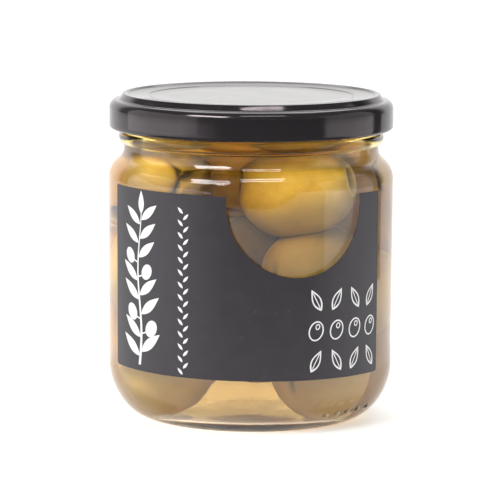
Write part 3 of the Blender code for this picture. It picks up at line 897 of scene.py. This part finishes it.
def lidProfile():
    s = lidSettings
    panel = s["top"] - s["panelDrop"]
    outerPanel = panel + s["panelStep"]
    ledge = s["top"] - s["ledgeDrop"]
    points = [(0.0, panel), (0.4 * s["panelRadius"], panel), (0.8 * s["panelRadius"], panel)]
    points += softStep(s["panelRadius"] - 0.0003, panel, outerPanel, 0.0012)
    points += softStep(s["ridgeInner"] - 0.0008, outerPanel, s["top"], 0.0012)
    steep, flat = s["ridgeSlope"]
    points += circleArc(s["ridgeOuter"], s["top"] - s["ridgeRound"], s["ridgeRound"], 90.0, steep, 5)
    turn = math.radians(steep)
    across, height = points[-1]
    points += circleArc(across - s["slopeRadius"] * math.cos(turn),
                        height - s["slopeRadius"] * math.sin(turn), s["slopeRadius"], steep, flat, 6)[1:]
    fillet = (points[-1][1] - ledge) / (1.0 - math.sin(math.radians(flat)))
    points += circleArc(points[-1][0] + fillet * math.cos(math.radians(flat)), ledge + fillet, -fillet,
                        flat, 90.0, 8)[1:]
    points += arc(s["radius"] - s["shoulderRound"], ledge - s["shoulderFall"], s["shoulderRound"],
                  s["shoulderFall"], 90.0, 0.0, 16)
    points += lineSteps(points[-1], (s["radius"], s["curlBottom"] + 2.2 * s["curlRound"]), 2)
    points += circleArc(s["radius"] - s["curlRound"], s["curlBottom"] + s["curlRound"], s["curlRound"],
                        0.0, -180.0, 14)
    inner = s["radius"] - s["sheet"]
    under = panel - s["sheet"]
    points += [(inner, s["curlBottom"] + 2.4 * s["curlRound"]), (inner, ledge - s["shoulderFall"]),
               (inner - s["shoulderRound"], ledge - s["sheet"]),
               (s["ridgeOuter"] - s["sheet"], ledge - s["sheet"]), (s["ridgeOuter"] - s["sheet"], under),
               (0.5 * s["panelRadius"], under), (0.0, under)]
    return points


def oneLug():
    s = lidSettings
    builder = bmesh.new()
    place = Matrix.Translation((0.0, -s["lugRadius"], s["lugHeight"]))
    bmesh.ops.create_cube(builder, size=1.0, matrix=place @ Matrix.Diagonal((*s["lugSize"], 1.0)))
    bmesh.ops.bevel(builder, geom=builder.edges[:], offset=s["lugRound"], segments=2, affect="EDGES")
    return addObject("oneLug", meshFromBuilder("oneLug", builder))


def buildLid(aroundTree):
    s = lidSettings
    lid = turnProfile("twistLid", lidProfile(), s["sides"])
    fuseCopies(lid, "lidLugs", oneLug(), threadSettings["startAngle"] + s["lugAngle"], aroundTree,
               materials["lid"])
    # The lining covers what faces the inside, down to the curl.
    lid.data.materials.append(materials["lidLining"])
    inside = s["radius"] - 0.7 * s["sheet"]
    low = s["curlBottom"] + 2.3 * s["curlRound"]
    for face in lid.data.polygons:
        across = math.hypot(face.center.x, face.center.y)
        inward = Vector((-face.center.x, -face.center.y, -across)).normalized()
        if across < inside and face.center.z > low and face.normal.dot(inward) > 0.3:
            face.material_index = 1
    shadeSmooth(lid, 60.0)
    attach(lid, "root")
    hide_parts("lid")
    print("lid:", countFaces(lid), "triangles")


buildLid(aroundTree)


# Label and its print: flat outlines in the XZ plane, X as distance along the label

labelSettings = {
    "low": 0.0172,
    "high": 0.0708,
    "left": -67.0,
    "right": 61.0,
    "skew": -0.0104,
    "corner": 0.0012,
    "windowRadius": 0.0214,
    "windowAngle": 19.2,
    "windowDrop": 0.0021,
    "lift": -0.00004,
    "thickness": 0.00014,
    "inkThickness": 0.00003,
    "columns": 2.5,
}


def alongAt(angle):
    # Distance along the label from the front, for an angle in degrees.
    return math.radians(angle) * jarSizes["radius"]


def labelOutline():
    s = labelSettings
    left, right, corner = alongAt(s["left"]), alongAt(s["right"]), s["corner"]
    points = circleArc(left + corner, s["low"] + corner, corner, 180.0, 270.0, 8)
    points += circleArc(right - corner, s["low"] + corner, corner, 270.0, 360.0, 8)
    points.append((right, s["high"]))
    rise = math.degrees(math.asin(s["windowDrop"] / s["windowRadius"]))
    points += circleArc(alongAt(s["windowAngle"]), s["high"] - s["windowDrop"], s["windowRadius"],
                        rise, -180.0 - rise, 90)
    points.append((left, s["high"]))
    return points


def turnedPoint(center, along, across, angle):
    # A point in the label's plane, from its place in a turned shape.
    return (center[0] + along * math.cos(angle) - across * math.sin(angle),
            center[1] + along * math.sin(angle) + across * math.cos(angle))


def leafOutline(center, length, width, angle, steps=14):
    # A pointed leaf.
    points = []
    for side in (1.0, -1.0):
        for step in range(steps):
            share = step / steps if side > 0.0 else 1.0 - step / steps
            across = side * 0.5 * width * math.sin(math.pi * share ** 0.85)
            points.append(turnedPoint(center, (share - 0.5) * length, across, angle))
    return points


def ovalOutline(center, length, width, angle, steps=28):
    turns = [2.0 * math.pi * step / steps for step in range(steps)]
    return [turnedPoint(center, 0.5 * length * math.cos(turn), 0.5 * width * math.sin(turn), angle)
            for turn in turns]


def addVerts(builder, outline):
    return [builder.verts.new((along, 0.0, height)) for along, height in outline]


def faceFront(face):
    face.normal_update()
    if face.normal.y > 0.0:
        face.normal_flip()
    return face


def addFace(builder, outline):
    return faceFront(builder.faces.new(addVerts(builder, outline)))


def addBand(builder, outer, inner):
    # A closed line between two outlines of the same number of points.
    outerVerts, innerVerts = addVerts(builder, outer), addVerts(builder, inner)
    for index in range(len(outer)):
        after = (index + 1) % len(outer)
        faceFront(builder.faces.new((outerVerts[index], outerVerts[after],
                                     innerVerts[after], innerVerts[index])))


def buildWrapTree():
    # Bends a flat sheet in the XZ plane round the jar's body.
    tree, source, target = newGeometryTree("wrapRoundJar", {
        "Radius": 0.04, "Foot Radius": 0.04, "Foot Height": 0.0, "Shoulder Height": 0.07, "Skew": 0.0,
        "Lift": 0.0})
    flat = addNode(tree, "ShaderNodeSeparateXYZ", {0: addNode(tree, "GeometryNodeInputPosition")[0]})
    angle = mathNode(tree, "DIVIDE", flat["X"], source["Radius"])
    height = mathNode(tree, "ADD", flat["Z"], mathNode(tree, "MULTIPLY", flat["X"], source["Skew"]))
    wide = mapRange(tree, height, source["Foot Height"], source["Shoulder Height"],
                    source["Foot Radius"], source["Radius"])
    radius = mathNode(tree, "ADD", wide, source["Lift"])
    across = mathNode(tree, "MULTIPLY", radius, mathNode(tree, "SINE", angle))
    ahead = mathNode(tree, "MULTIPLY", radius, mathNode(tree, "COSINE", angle))
    back = mathNode(tree, "MULTIPLY", ahead, -1.0)
    place = addNode(tree, "ShaderNodeCombineXYZ", {"X": across, "Y": back, "Z": height})[0]
    moved = addNode(tree, "GeometryNodeSetPosition", {"Geometry": source["Geometry"], "Position": place})[0]
    return endTree(tree, source, target, moved)


def cutColumns(builder):
    # Cuts a flat sheet into narrow columns, so that it bends round smoothly.
    s = labelSettings
    angle = math.ceil(s["left"] / s["columns"]) * s["columns"]
    while angle < s["right"]:
        everything = list(builder.verts) + list(builder.edges) + list(builder.faces)
        bmesh.ops.bisect_plane(builder, geom=everything, dist=0.0000005,
                               plane_co=(alongAt(angle), 0.0, 0.0), plane_no=(1.0, 0.0, 0.0))
        angle += s["columns"]


def wrapSheet(name, builder, wrapTree, lift, thickness, finish):
    s = jarSizes
    cutColumns(builder)
    piece = addObject(name, meshFromBuilder(name, builder))
    useTree(piece, wrapTree, {"Radius": s["radius"], "Foot Radius": s["radius"] - s["taper"],
                              "Foot Height": s["heelHeight"], "Shoulder Height": s["shoulderHeight"],
                              "Skew": labelSettings["skew"], "Lift": lift, "Finish": finish})
    makePlain(piece)
    skin = piece.modifiers.new("Thickness", "SOLIDIFY")
    skin.thickness = thickness
    skin.offset = 1.0
    makePlain(piece)
    shadeSmooth(piece, 40.0)
    return piece


def buildLabel(wrapTree):
    s = labelSettings
    builder = bmesh.new()
    bmesh.ops.triangulate(builder, faces=[addFace(builder, labelOutline())])
    label = wrapSheet("label_sheet", builder, wrapTree, s["lift"], s["thickness"], materials["label"])
    label.data.materials.append(materials["paperBack"])
    for face in label.data.polygons:
        outward = Vector((face.center.x, face.center.y, 0.0)).normalized()
        if face.normal.dot(outward) < -0.5:
            face.material_index = 1
    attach(label, "root")
    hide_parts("label")
    print("label:", countFaces(label), "triangles")


sprigSettings = {
    "angle": -49.3,
    "low": 0.0190,
    "high": 0.0640,
    "stem": 0.0008,
    "stemSteps": 24,
    "sway": 0.0008,
    # what grows on each side, from below
    "left": "leaf leaf olive leaf leaf olive leaf leaf",
    "right": "leaf olive leaf leaf olive leaf leaf leaf",
    "first": 0.55,
    "stagger": 0.12,
    "shrink": 0.20,
    "leaf": (0.0098, 0.0031),
    "leafGap": 0.0004,
    "lean": 38.0,
    "olive": (0.0056, 0.0044),
    "olivePlace": (0.0043, 0.0020),
    "oliveLean": 35.0,
    "stalk": 0.00022,
    "stalkShort": (0.0014, 0.0010),
    "tip": (0.0068, 0.0024),
    "tipRise": 0.0030,
}


def stemAt(share):
    s = sprigSettings
    return (alongAt(s["angle"]) + s["sway"] * math.sin(2.4 * math.pi * share),
            s["low"] + (s["high"] - s["low"]) * share)


def buildSprig(wrapTree):
    # A plain olive branch, drawn upright: a stem with leaves on both sides and an olive here and there.
    s = sprigSettings
    builder = bmesh.new()
    left, right = [], []
    for step in range(s["stemSteps"] + 1):
        share = step / s["stemSteps"]
        along, height = stemAt(share)
        half = 0.5 * s["stem"] * (1.3 - 0.9 * share)
        left.append((along - half, height))
        right.append((along + half, height))
    addFace(builder, left + right[::-1])
    for side, kinds in ((-1.0, s["left"].split()), (1.0, s["right"].split())):
        for index, kind in enumerate(kinds):
            share = (index + s["first"] + s["stagger"] * side) / (len(kinds) + 0.1)
            along, height = stemAt(share)
            size = 1.0 - s["shrink"] * share
            length, width = (size * measure for measure in s[kind])
            if kind == "leaf":
                lean = math.radians(s["lean"] if side > 0.0 else 180.0 - s["lean"])
                center = turnedPoint((along, height), 0.5 * length + s["leafGap"] * size, 0.0, lean)
                addFace(builder, leafOutline(center, length, width, lean))
            else:
                aside, above = s["olivePlace"]
                center = (along + side * aside * size, height + above * size)
                lean = math.radians(90.0 - side * s["oliveLean"])
                addFace(builder, ovalOutline(center, length, width, lean))
                endAlong, endHeight = center[0] - side * s["stalkShort"][0], center[1] - s["stalkShort"][1]
                addFace(builder, [(along, height - s["stalk"]), (endAlong, endHeight - s["stalk"]),
                                  (endAlong, endHeight + s["stalk"]), (along, height + s["stalk"])])
    along, height = stemAt(1.0)
    addFace(builder, leafOutline((along, height + s["tipRise"]), *s["tip"], math.pi / 2.0))
    finishPrint("printSprig", builder, wrapTree)


rowSettings = {
    "angles": (22.0, 60.0),
    "heights": (0.0405, 0.0315, 0.0226),
    "line": 0.00042,
    "icons": 4,
    # length, width and turn
    "olive": (0.0060, 0.0048, 1.2),
    "hole": (0.0018, 0.0015, 1.2),
    "holePlace": (0.0005, 0.0012),
    "leaf": (0.0072, 0.0030),
    "leans": (118.0, 62.0),
}


def addLineOval(builder, center, length, width, angle, line):
    addBand(builder, ovalOutline(center, length, width, angle),
            ovalOutline(center, length - 2.0 * line, width - 2.0 * line, angle))


def addLineLeaf(builder, center, length, width, angle, line):
    addBand(builder, leafOutline(center, length, width, angle),
            leafOutline(center, length - 4.0 * line, width - 2.0 * line, angle))
    addFace(builder, [turnedPoint(center, end * 0.34 * length, side * 0.35 * line, angle)
                      for end, side in ((-1.0, -1.0), (1.0, -1.0), (1.0, 1.0), (-1.0, 1.0))])


def buildIconRows(wrapTree):
    # Three rows of thin line drawings: leaves, pitted olives, leaves.
    s = rowSettings
    builder = bmesh.new()
    start, stop = (alongAt(angle) for angle in s["angles"])
    for row, height in enumerate(s["heights"]):
        for index in range(s["icons"]):
            center = (start + (stop - start) * (index + 0.5) / s["icons"], height)
            if row == 1:
                hole = (center[0] + s["holePlace"][0], center[1] + s["holePlace"][1])
                addLineOval(builder, center, *s["olive"], s["line"])
                addLineOval(builder, hole, *s["hole"], s["line"] * 0.8)
            else:
                lean = math.radians(s["leans"][(index + row // 2) % 2])
                addLineLeaf(builder, center, *s["leaf"], lean, s["line"])
    finishPrint("printRows", builder, wrapTree)


garlandSettings = {"angle": -27.2, "low": 0.0190, "high": 0.0660, "count": 27, "leaf": (0.0025, 0.00085),
                   "tilt": 42.0, "shift": 0.0009}


def buildGarlandTree():
    # A row of one flat shape going up in the XZ plane, tilted and shifted by turns to each side.
    tree, source, target = newGeometryTree("garlandRow", {
        "Shape": "Object", "Count": 20, "Start": (0.0, 0.0, 0.0), "Step": (0.0, 0.0, 0.002), "Tilt": 0.7,
        "Shift": 0.001})
    line = addNode(tree, "GeometryNodeMeshLine", {"Count": source["Count"], "Start Location": source["Start"],
                                                  "Offset": source["Step"]})[0]
    odd = mathNode(tree, "MODULO", addNode(tree, "GeometryNodeInputIndex")[0], 2.0)
    side = mathNode(tree, "SUBTRACT", mathNode(tree, "MULTIPLY", odd, 2.0), 1.0)
    aside = addNode(tree, "ShaderNodeCombineXYZ", {"X": mathNode(tree, "MULTIPLY", side, source["Shift"])})[0]
    moved = addNode(tree, "GeometryNodeSetPosition", {"Geometry": line, "Offset": aside})[0]
    turn = addNode(tree, "ShaderNodeCombineXYZ", {"Y": mathNode(tree, "MULTIPLY", side, source["Tilt"])})[0]
    return endTree(tree, source, target, copiesOn(tree, moved, source["Shape"], turn))


def buildGarland(wrapTree):
    s = garlandSettings
    builder = bmesh.new()
    addFace(builder, leafOutline((0.0, 0.0), *s["leaf"], math.pi / 2.0, 8))
    leaf = addObject("garlandLeaf", meshFromBuilder("garlandLeaf", builder))
    flat = addObject("garlandFlat", bpy.data.meshes.new("garlandFlat"))
    useTree(flat, buildGarlandTree(), {
        "Shape": leaf, "Count": s["count"], "Start": (alongAt(s["angle"]), 0.0, s["low"]),
        "Step": (0.0, 0.0, (s["high"] - s["low"]) / (s["count"] - 1)),
        "Tilt": math.radians(s["tilt"]), "Shift": s["shift"], "Finish": materials["print"]})
    makePlain(flat)
    builder = bmesh.new()
    builder.from_mesh(flat.data)
    removeObject(flat)
    removeObject(leaf)
    for face in builder.faces:
        faceFront(face)
    finishPrint("printGarland", builder, wrapTree)


def finishPrint(name, builder, wrapTree):
    lift = labelSettings["lift"] + labelSettings["thickness"]
    piece = wrapSheet(name, builder, wrapTree, lift, labelSettings["inkThickness"], materials["print"])
    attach(piece, "root")
    print(name + ":", countFaces(piece), "triangles")


wrapTree = buildWrapTree()
buildLabel(wrapTree)
buildSprig(wrapTree)
buildIconRows(wrapTree)
buildGarland(wrapTree)


# Floor, light and camera

def buildFloor():
    # The paper glows a little everywhere, which lifts its shadows; under the foot it glows more and warmly, a
    # painted pool of amber light from the jar.
    look = {"radius": 1.15, "drop": 0.00005, "mottle": (3.0, 60.0, 0.3), "roughness": 0.8,
            "colours": ((0.90, 0.90, 0.90), (0.92, 0.92, 0.92)), "glow": 0.32,
            "footPaintedGlow": (2.0, 1.5, 1.05), "glowColour": (1.0, 0.995, 0.985), "footRadii": (0.031, 0.036)}
    builder = bmesh.new()
    bmesh.ops.create_circle(builder, cap_ends=True, segments=96, radius=look["radius"])
    floor = addObject("studioFloor", meshFromBuilder("studioFloor", builder))
    floor.location.z = -look["drop"]
    material, tree, shader = mottledMaterial("palePaper", look)
    outward = addNode(tree, "ShaderNodeVectorMath", {0: objectPlace(tree)}, operation="LENGTH")["Value"]
    share = mapRange(tree, outward, *look["footRadii"])
    feed(tree, shader, {"Specular IOR Level": 0.1, "Emission Strength": look["glow"],
                        "Emission Color": mixColours(tree, share, look["footPaintedGlow"], look["glowColour"])})
    floor.data.materials.append(material)


# span: first and last angle, and steps; edges: radius and height of both; fade: degrees to full, or
# None for a fade at both ends
cardSettings = {
    "colour": (0.08, 0.08, 0.083, 1.0),
    "roughness": 0.9,
    "cards": {
        "darkCard1": {"span": (-52.0, 54.5, 44), "edges": ((0.19, 0.0), (0.19, 0.13)), "fade": 32.0},
        "darkCard2": {"span": (108.0, 122.0, 7), "edges": ((0.30, 0.0), (0.30, 0.30)), "fade": 1.0},
        "darkRing": {"span": (-62.0, 62.0, 40), "edges": ((0.0440, 0.0775), (0.0800, 0.0775)), "fade": None},
    },
}


def buildCards():
    # Dark cards that only reflections see: they keep the lid's front black, draw a dark line at its right
    # and darken the bead of the neck.
    material, tree, shader = newMaterial("blackCard")
    fade = addNode(tree, "ShaderNodeAttribute", attribute_name="solidity")["Fac"]
    feed(tree, shader, {"Base Color": cardSettings["colour"], "Roughness": cardSettings["roughness"],
                        "Alpha": fade})
    for name, settings in cardSettings["cards"].items():
        start, stop, steps = settings["span"]
        builder = bmesh.new()
        solidity = builder.verts.layers.float.new("solidity")
        low, high = [], []
        for step in range(steps + 1):
            turned = (stop - start) * step / steps
            fade = turned / settings["fade"] if settings["fade"] else 4.0 * math.sin(math.pi * step / steps)
            for row, (radius, height) in zip((low, high), settings["edges"]):
                row.append(builder.verts.new(placeOnAxis(radius, math.radians(start + turned), height)))
                row[-1][solidity] = min(1.0, fade)
        for step in range(steps):
            builder.faces.new((low[step], low[step + 1], high[step + 1], high[step]))
        card = addObject(name, meshFromBuilder(name, builder))
        card.data.materials.append(material)
        for ray in ("camera", "diffuse", "transmission", "shadow", "volume_scatter"):
            setattr(card, "visible_" + ray, False)


# azimuth, elevation, distance, width, height, brightness, target
softboxes = {
    "keySoftbox": (-41.0, 44.0, 1.15, 0.56, 0.26, 19.0, (0.0, 0.0, 0.05)),
    "topStrip": (14.0, 62.0, 1.2, 0.55, 0.10, 12.0, (0.0, 0.0, 0.05)),
    "leftPanel": (-78.5, 0.0, 0.55, 0.81, 0.50, 1.0, (0.0, 0.0, 0.25)),
    "rightPanel": (91.5, 0.0, 0.55, 0.67, 0.50, 0.56, (0.0, 0.0, 0.25)),
    "overhead": (180.0, 70.0, 1.8, 1.4, 1.4, 3.0, (0.0, 0.6, 0.0)),
    # a narrow beam under the lid's edge, for the olives in the neck
    "neckFill": (0.0, -2.0, 1.2, 0.08, 0.01, 1.15, (0.0, 0.0, 0.087)),
}


def addSoftbox(name, azimuth, elevation, distance, width, height, brightness, target):
    # brightness is the panel's radiance; a lamp's power is that times its area times pi.
    lamp = bpy.data.lights.new(name, "AREA")
    lamp.shape = "RECTANGLE"
    lamp.size = width
    lamp.size_y = height
    lamp.energy = brightness * math.pi * width * height
    box = addObject(name, lamp)
    turn, rise = math.radians(azimuth), math.radians(elevation)
    aim = Vector(target)
    away = Vector((math.sin(turn) * math.cos(rise), -math.cos(turn) * math.cos(rise), math.sin(rise)))
    box.location = aim + away * distance
    box.rotation_euler = (aim - box.location).to_track_quat("-Z", "Y").to_euler()
    return box


def buildLights():
    boxes = {name: addSoftbox(name, *values) for name, values in softboxes.items()}
    boxes["leftPanel"].visible_diffuse = False
    boxes["neckFill"].data.spread = math.radians(1.5)
    boxes["neckFill"].visible_glossy = False


def buildWorld():
    # Darker in front than behind; the backdrop itself is pale from every side.
    glow = {"front": 0.28, "back": 1.25, "edge": (0.64, 0.76), "colour": (1.0, 0.995, 0.985, 1.0)}
    world = bpy.data.worlds.new("paleStudio")
    world.use_nodes = True
    tree = world.node_tree
    tree.nodes.clear()
    way = addNode(tree, "ShaderNodeSeparateXYZ", {0: addNode(tree, "ShaderNodeTexCoord")["Generated"]})
    strength = mapRange(tree, way["Y"], *glow["edge"], glow["front"], glow["back"])
    seen = mathNode(tree, "MULTIPLY", addNode(tree, "ShaderNodeLightPath")["Is Camera Ray"], glow["back"])
    background = addNode(tree, "ShaderNodeBackground", {
        "Color": glow["colour"], "Strength": mathNode(tree, "MAXIMUM", strength, seen)})[0]
    feed(tree, tree.nodes.new("ShaderNodeOutputWorld"), {"Surface": background})
    bpy.context.scene.world = world


cameraSettings = {"distance": 0.9776, "elevation": 8.94, "orbitHeight": 0.03633, "lens": 234.2,
                  "aim": (-0.00017, 0.0, 0.04945), "sensor": 36.0, "roll": 0.356, "clip": (0.05, 20.0)}


def buildCamera():
    s = cameraSettings
    camera = addObject("photoCamera", bpy.data.cameras.new("photoCamera"))
    rise = math.radians(s["elevation"])
    camera.location = Vector((0.0, -s["distance"] * math.cos(rise),
                              s["orbitHeight"] + s["distance"] * math.sin(rise)))
    aim = (Vector(s["aim"]) - camera.location).to_track_quat("-Z", "Y")
    camera.rotation_mode = "QUATERNION"
    camera.rotation_quaternion = aim @ Quaternion((0.0, 0.0, 1.0), math.radians(s["roll"]))
    camera.data.lens = s["lens"]
    camera.data.sensor_width = s["sensor"]
    camera.data.clip_start, camera.data.clip_end = s["clip"]
    bpy.context.scene.camera = camera


buildFloor()
buildCards()
buildLights()
buildWorld()
buildCamera()
bpy.context.scene.view_settings.view_transform = "Standard"
print("floor, light and camera ready")
